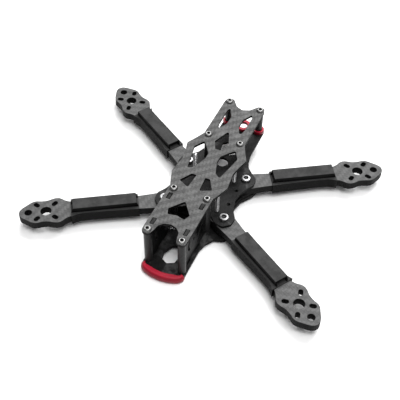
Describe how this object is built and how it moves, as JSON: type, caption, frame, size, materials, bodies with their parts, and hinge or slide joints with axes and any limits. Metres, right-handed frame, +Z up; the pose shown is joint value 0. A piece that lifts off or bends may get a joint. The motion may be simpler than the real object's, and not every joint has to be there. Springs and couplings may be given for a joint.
{
  "type": "quadcopter frame",
  "caption": "Bare carbon plate quadcopter frame with bolted arms, wire covers, standoffs, camera plates, nose bumper and antenna holder.",
  "frame": {"origin": "on the ground plane, under the centre of the four motor positions", "axes": "+Z up, nose towards -Y, +X to the right as seen facing the nose from the front"},
  "size_m": [0.218, 0.1548, 0.0368],
  "materials": {
    "carbon_top": "satin woven carbon laminate",
    "carbon_mid": "satin woven carbon laminate",
    "carbon_bottom": "satin woven carbon laminate",
    "carbon_arm": "satin woven carbon laminate",
    "carbon_side": "satin woven carbon laminate",
    "tpu_black": "matte printed flexible plastic",
    "tpu_red": "matte printed flexible plastic",
    "standoff_anodised": "dark anodised",
    "screw_steel": "bright zinc",
    "screw_black": "black oxide",
    "nut_steel": "bright nickel",
    "stack_steel": "bright zinc"
  },
  "bodies": {
    "root": {"top_plate": "carbon_top", "mid_plate": "carbon_mid", "bottom_plate": "carbon_bottom", "brace_plate": "carbon_bottom", "arm_front_left": "carbon_arm", "arm_front_right": "carbon_arm", "arm_rear_left": "carbon_arm", "arm_rear_right": "carbon_arm", "guard_front_left": "tpu_black", "guard_front_right": "tpu_black", "guard_rear_left": "tpu_black", "guard_rear_right": "tpu_black", "camera_plate_left": "carbon_side", "camera_plate_right": "carbon_side", "standoff_nose_left": "standoff_anodised", "standoff_nose_right": "standoff_anodised", "standoff_bay_left": "standoff_anodised", "standoff_bay_right": "standoff_anodised", "standoff_waist_left": "standoff_anodised", "standoff_waist_right": "standoff_anodised", "standoff_tail_left": "standoff_anodised", "standoff_tail_right": "standoff_anodised", "top_screws": "screw_steel", "lower_screws": "screw_black", "arm_screws": "screw_black", "press_nuts": "nut_steel", "stack_screws": "stack_steel", "nose_bumper": "tpu_red", "antenna_mount": "tpu_red"}
  },
  "joints": []
}
